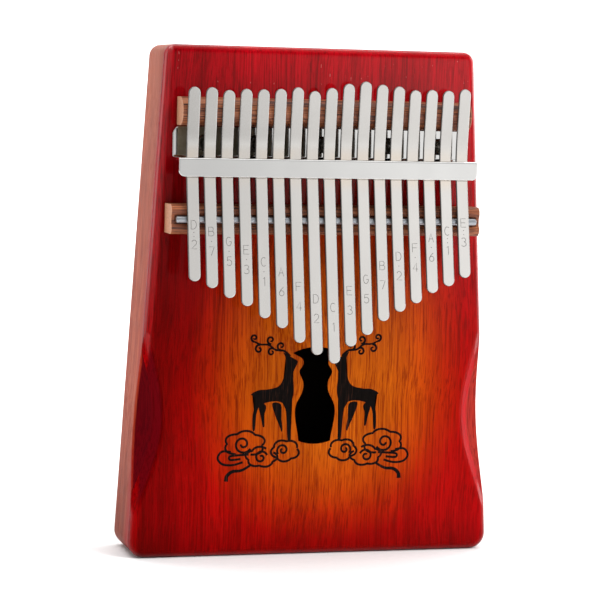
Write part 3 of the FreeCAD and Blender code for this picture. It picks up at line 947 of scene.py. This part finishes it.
def tapered(count, start, end):
    """Widths that change evenly along a line of count points."""
    return [start + (end - start) * k / (count - 1) for k in range(count)]


def add_stag(bm, side):
    place = on_board(side)
    add_plate(bm, smooth_line(STAG_BODY, True, 5), PICTURE_LOW, BODY_RISE, place)
    add_plate(bm, smooth_line(STAG_FAR_FORELEG, True, 4), PICTURE_LOW, LEG_RISE, place)
    add_plate(bm, smooth_line(STAG_FAR_HINDLEG, True, 4), PICTURE_LOW, LEG_RISE, place)
    for index, curve in enumerate(ANTLER_STROKES):
        widths = tapered(len(curve), ANTLER_WIDTH, ANTLER_TIP_WIDTH)
        add_stroke(bm, curve, widths, PICTURE_LOW, ANTLER_RISE - RISE_STEP * index, place)


def add_clouds(bm, side):
    place = on_board(side)
    for index, curve in enumerate(CLOUD_STROKES):
        widths = [CLOUD_WIDTH] * len(curve)
        add_stroke(bm, curve, widths, PICTURE_LOW, CLOUD_RISE - RISE_STEP * index, place)
    tail = smooth_line(CLOUD_TAIL)
    widths = tapered(len(tail), CLOUD_WIDTH, CLOUD_TAIL_WIDTH)
    add_stroke(bm, tail, widths, PICTURE_LOW, CLOUD_TAIL_RISE, place)


# ---------------------------------------------------------------- studio

def build_backdrop(material):
    """A white floor that curves up into a wall behind, wide enough for every view."""
    half_wide, near, wall, high, radius = 6000.0, -6000.0, 3200.0, 4200.0, 1400.0
    bend_steps = 12
    profile = [(near, 0.0), (-1500.0, 0.0), (0.0, 0.0), (wall - radius, 0.0)]
    for step in range(1, bend_steps + 1):
        angle = math.pi / 2 * step / bend_steps
        profile.append((wall - radius + radius * math.sin(angle), radius - radius * math.cos(angle)))
    profile.append((wall, high))
    bm = bmesh.new()
    rows = [[bm.verts.new((x, y, z)) for x in (-half_wide, half_wide)] for y, z in profile]
    for low, high_row in zip(rows, rows[1:]):
        bm.faces.new((low[0], low[1], high_row[1], high_row[0]))
    backdrop = new_piece("backdrop", bm, material)


def area_light(name, centre, towards, size, power):
    """A white rectangular lamp, in metres and watts."""
    light = bpy.data.lights.new(name, "AREA")
    light.shape = "RECTANGLE"
    light.size, light.size_y = size
    light.energy = power
    lamp = bpy.data.objects.new(name, light)
    SCENE.collection.objects.link(lamp)
    lamp.location = centre
    lamp.rotation_euler = (Vector(towards) - Vector(centre)).to_track_quat("-Z", "Y").to_euler()
    lamp.visible_camera = False
    return lamp


def add_card(name, corners, glow, ramp=None):
    """A card in mm that only reflections see. Its glow can change, by (x_left, x_right, glow_right)."""
    bm = bmesh.new()
    for corner in corners:
        bm.verts.new(corner)
    bm.faces.new(bm.verts)
    s = Surface(name)
    if ramp:
        x_left, x_right, glow_right = ramp
        glow = s.step(s.x, x_left, x_right, glow, glow_right)
    s.finish(
        Base_Color=srgb(4, 4, 4),
        Roughness=1.0,
        Specular_IOR_Level=0.0,
        Emission_Color=WHITE,
        Emission_Strength=glow,
    )
    card = new_piece(name, bm, s.material)
    card.visible_camera = False
    card.visible_diffuse = False
    card.visible_shadow = False


def upright_card(left, right, low, high):
    """Corners of a card that stands between two (x, y) points."""
    return ((*left, low), (*right, low), (*right, high), (*left, high))


def build_cards():
    """Cards for the metal to mirror: two in front that brighten to the right, grey and white at the left."""
    front = upright_card((50, -1600), (1200, -1600), -20, 950)
    floor = ((-700, -1590, 2), (1200, -1590, 2), (1200, -330, 2), (-700, -330, 2))
    dark = upright_card((-1500, -150), (-120, -1450), 0, 900)
    edge = upright_card((-1500, 0), (-1150, 950), 0, 900)
    add_card("front_card", front, 0.79, (150, 750, 1.32))
    add_card("floor_card", floor, 0.54, (-20, 340, 1.16))
    add_card("dark_card", dark, 0.34)
    add_card("edge_card", edge, 1.4)


def build_lights():
    """A soft overhead light, one for the wall, a key and a strip at the right, and a pale world."""
    middle = (0.0, 0.0, 0.1)
    area_light("overhead", (0.0, 0.1, 2.6), middle, (3.0, 3.0), 35.0)
    area_light("wall_wash", (0.0, 1.3, 2.6), (0.0, 3.2, 0.6), (4.0, 0.8), 82.0)
    key = area_light("key_upper_right", (1.0, -1.1, 1.35), middle, (0.8, 0.8), 22.0)
    key.visible_glossy = False
    area_light("strip_right", (1.8, 0.45, 0.5), middle, (1.3, 1.4), 16.0)
    world = bpy.data.worlds.new("studio")
    world.use_nodes = True
    background = world.node_tree.nodes["Background"]
    background.inputs["Color"].default_value = (0.8, 0.8, 0.8, 1.0)
    background.inputs["Strength"].default_value = 0.7
    SCENE.world = world


# The camera: the point it looks at, in m, its direction, distance, tilt and focal length in mm.
VIEW_TARGET = Vector((-0.00667, -0.015, 0.09377))
VIEW_DIRECTION = Vector((0.2686, 0.9592, -0.0882)).normalized()
VIEW_DISTANCE = 0.855
VIEW_ROLL = math.radians(1.4)
FOCAL_LENGTH = 141.2


def build_camera():
    right = VIEW_DIRECTION.cross(Vector((0, 0, 1))).normalized()
    up = right.cross(VIEW_DIRECTION)
    across = math.cos(VIEW_ROLL) * right + math.sin(VIEW_ROLL) * up
    upward = math.cos(VIEW_ROLL) * up - math.sin(VIEW_ROLL) * right
    camera = bpy.data.cameras.new("photo_view")
    camera.lens = FOCAL_LENGTH
    camera.sensor_width = 36.0
    camera.clip_end = 50.0
    holder = bpy.data.objects.new("photo_view", camera)
    SCENE.collection.objects.link(holder)
    turn = Matrix((across, upward, -VIEW_DIRECTION)).transposed().to_4x4()
    holder.matrix_world = Matrix.Translation(VIEW_TARGET - VIEW_DIRECTION * VIEW_DISTANCE) @ turn
    SCENE.camera = holder


# ---------------------------------------------------------------- the object

def paint(names, material):
    """Gives CAD nodes a material in all their slots."""
    for name in names:
        mesh = NODES[name].data
        mesh.materials.clear()
        mesh.materials.append(material)


def build_object():
    """Finishes for the CAD nodes, and the pieces that stand for or join them."""
    box_boards = ["back_board", "side_board_left", "side_board_right", "end_block_top", "end_block_bottom"]
    bar_finish = rosewood()
    plate_finish = nickel("bright_nickel", srgb(211, 210, 208), 0.07, "x")
    face_finish = nickel("tine_nickel", srgb(211, 208, 204), 0.15, "z", warm=1.0)
    mark_finish = etched_mark()
    tine_finishes = (face_finish, raw_steel(), sheared_edge_and_painted_shade())
    paint(["soundboard"], lacquered_board())
    paint(box_boards, satin_box())
    paint(["screw_block"], block_wood())
    paint(["saddle_rod"], nickel("satin_steel", srgb(164, 167, 172), 0.34, "x"))
    paint(["plate_screws"], black_oxide())
    eased_copy("clamp_plate", "pressure_plate", 0.6, plate_ease, plate_finish)
    eased_copy("tail_bar", "upper_bar", 0.3, even_ease, bar_finish)
    eased_copy("bridge_bar", "lower_bar", 0.3, even_ease, bar_finish)
    for number in range(1, TINE_COUNT + 1):
        build_tine(number, tine_finishes, mark_finish)
    build_picture(burnt_wood())


SCENE.view_settings.view_transform = "Standard"
build_object()
build_backdrop(backdrop_paper())
build_cards()
build_lights()
build_camera()
